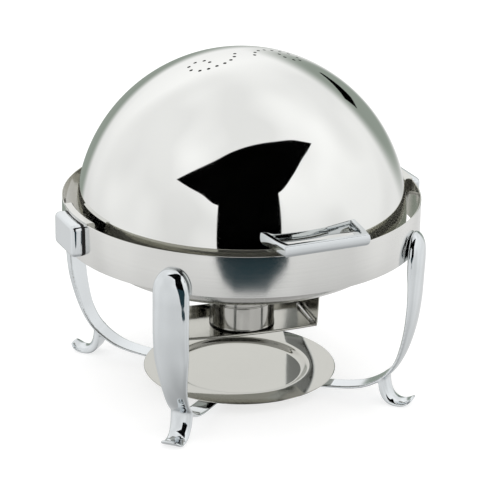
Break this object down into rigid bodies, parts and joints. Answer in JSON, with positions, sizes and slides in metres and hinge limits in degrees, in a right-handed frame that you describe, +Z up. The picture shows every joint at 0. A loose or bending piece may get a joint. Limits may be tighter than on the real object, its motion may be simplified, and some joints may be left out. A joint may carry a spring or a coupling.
{
  "type": "roll top chafer",
  "caption": "Round roll top chafer: polished spherical cover rolling back inside a brushed ring on scrolled chrome legs, with nested pans, a burner shelf and a drip plate.",
  "frame": {"origin": "bottom centre of the bounding box, on the surface the feet stand on", "axes": "+X along the pivot axis of the cover, towards the right pivot block seen from the front; -Y towards the handle and the user; +Z up"},
  "size_m": [0.434, 0.43, 0.3961],
  "materials": {
    "polished_dome": "mirror-polished stainless steel",
    "brushed_band": "horizontally brushed stainless steel",
    "cast_chrome": "chromed casting, high gloss",
    "pan_steel": "satin stainless steel",
    "plate_steel": "polished stainless steel",
    "shelf_steel": "bright rolled stainless sheet",
    "cup_steel": "turned and brushed stainless steel",
    "inner_steel": "plain stainless steel",
    "screw_steel": "bright steel fasteners",
    "can_metal": "plain tinned can with gel fuel",
    "gasket_black": "matt black rubber"
  },
  "bodies": {
    "frame": {"ring_band": "brushed_band", "leg_front_left": "cast_chrome", "leg_front_right": "cast_chrome", "leg_back_left": "cast_chrome", "leg_back_right": "cast_chrome", "leg_screw_front_left": "screw_steel", "leg_screw_front_right": "screw_steel", "leg_screw_back_left": "screw_steel", "leg_screw_back_right": "screw_steel", "leg_hub": "screw_steel", "hub_screw_front_left": "screw_steel", "hub_screw_front_right": "screw_steel", "hub_screw_back_left": "screw_steel", "hub_screw_back_right": "screw_steel", "hinge_block_left": "cast_chrome", "hinge_gasket_left": "gasket_black", "hinge_cap_left": "inner_steel", "hinge_pin_left": "screw_steel", "hinge_spacer_left": "inner_steel", "hinge_nut_left": "screw_steel", "block_screw_left_front": "screw_steel", "block_screw_left_back": "screw_steel", "pan_hanger_left": "inner_steel", "hanger_rivet_left": "screw_steel", "hinge_block_right": "cast_chrome", "hinge_gasket_right": "gasket_black", "hinge_cap_right": "inner_steel", "hinge_pin_right": "screw_steel", "hinge_spacer_right": "inner_steel", "hinge_nut_right": "screw_steel", "block_screw_right_front": "screw_steel", "block_screw_right_back": "screw_steel", "pan_hanger_right": "inner_steel", "hanger_rivet_right": "screw_steel", "water_pan": "pan_steel", "burner_shelf": "shelf_steel", "shelf_rivet_left_front": "screw_steel", "shelf_rivet_left_back": "screw_steel", "shelf_rivet_right_front": "screw_steel", "shelf_rivet_right_back": "screw_steel", "shelf_rod_left": "screw_steel", "shelf_rod_right": "screw_steel"},
    "cover": {"dome_cover": "polished_dome", "dome_ear_left": "inner_steel", "dome_ear_right": "inner_steel", "handle": "cast_chrome", "handle_screw_left": "screw_steel", "handle_screw_right": "screw_steel"},
    "food_tray": {"food_pan": "pan_steel"},
    "burner": {"burner_cup": "cup_steel", "fuel_can": "can_metal", "lid_rivet": "screw_steel"},
    "damper": {"burner_lid": "cup_steel"},
    "drip_plate": {"lower_plate": "plate_steel"}
  },
  "joints": [
    {"name": "cover_roll", "type": "hinge", "parent": "frame", "child": "cover", "pos_m": [0, 0.01, 0.207], "axis": [-1, 0, 0], "range_deg": [0, 155]},
    {"name": "food_pan_lift", "type": "slide", "parent": "frame", "child": "food_tray", "axis": [0, 0, 1], "range_m": [0, 0.03]},
    {"name": "burner_lift", "type": "slide", "parent": "frame", "child": "burner", "axis": [0, 0, 1], "range_m": [0, 0.025]},
    {"name": "damper_swing", "type": "hinge", "parent": "burner", "child": "damper", "pos_m": [0.00772, 0.05359, 0.116], "axis": [0, 0, 1], "range_deg": [0, 70]},
    {"name": "plate_lift", "type": "slide", "parent": "frame", "child": "drip_plate", "axis": [0, 0, 1], "range_m": [0, 0.005]}
  ]
}
